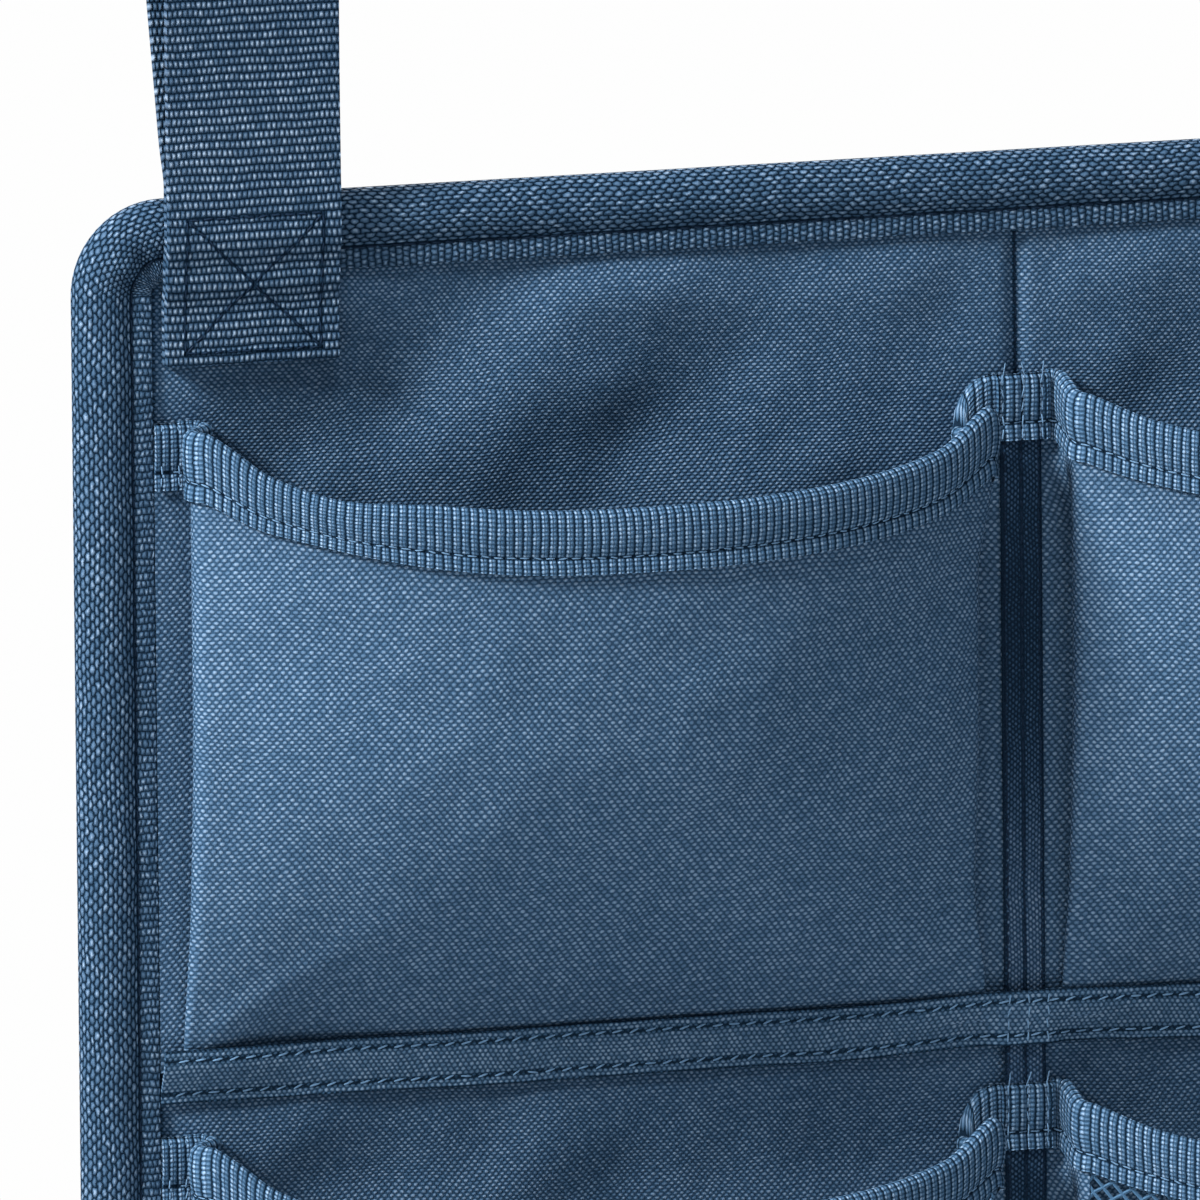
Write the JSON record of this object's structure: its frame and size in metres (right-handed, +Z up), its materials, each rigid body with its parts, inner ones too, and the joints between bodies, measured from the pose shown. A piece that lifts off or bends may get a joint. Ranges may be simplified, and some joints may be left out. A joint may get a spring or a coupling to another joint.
{
  "type": "hanging camp organizer",
  "caption": "Soft hanging organizer panel with columns and rows of pleated fabric and net pockets, bound edge and webbing loops for a bar.",
  "frame": {"origin": "where the hanging bar bears under the crowns of the loops, midway between them, in the panel's middle plane", "axes": "+Z up, -Y towards the pocket side, +X to the right as seen from the pocket side"},
  "size_m": [0.418, 0.0546, 0.6491],
  "materials": {
    "fabric": "matte woven oxford cloth",
    "lining": "matte woven lining",
    "foam": "matte foam sheet",
    "binding": "matte ribbed tape",
    "tape": "matte ribbed tape",
    "net": "matte knitted net",
    "webbing": "matte ribbed webbing"
  },
  "bodies": {
    "panel": {"front_fabric": "fabric", "foam_core": "foam", "back_lining": "lining", "edge_binding": "binding", "divider_tape": "tape", "row1_hem": "tape", "row1_tape": "tape", "row1_left_pocket": "fabric", "row1_right_pocket": "fabric", "row2_hem": "tape", "row2_tape": "tape", "row2_left_net": "net", "row2_left_outer_pleat": "fabric", "row2_left_inner_pleat": "fabric", "row2_right_net": "net", "row2_right_outer_pleat": "fabric", "row2_right_inner_pleat": "fabric", "row3_hem": "tape", "row3_tape": "tape", "row3_left_pocket": "fabric", "row3_right_pocket": "fabric", "left_strap_under_tab": "webbing", "left_strap_top_tab": "webbing", "right_strap_under_tab": "webbing", "right_strap_top_tab": "webbing"},
    "left_loop": {"left_strap_loop": "webbing"},
    "right_loop": {"right_strap_loop": "webbing"}
  },
  "joints": [
    {"name": "left_loop_swing", "type": "hinge", "parent": "panel", "child": "left_loop", "pos_m": [-0.171, -0.00715, -0.12025], "axis": [1, 0, 0], "range_deg": [-85, 90]},
    {"name": "right_loop_swing", "type": "hinge", "parent": "panel", "child": "right_loop", "pos_m": [0.171, -0.00715, -0.12025], "axis": [1, 0, 0], "range_deg": [-85, 90]}
  ]
}
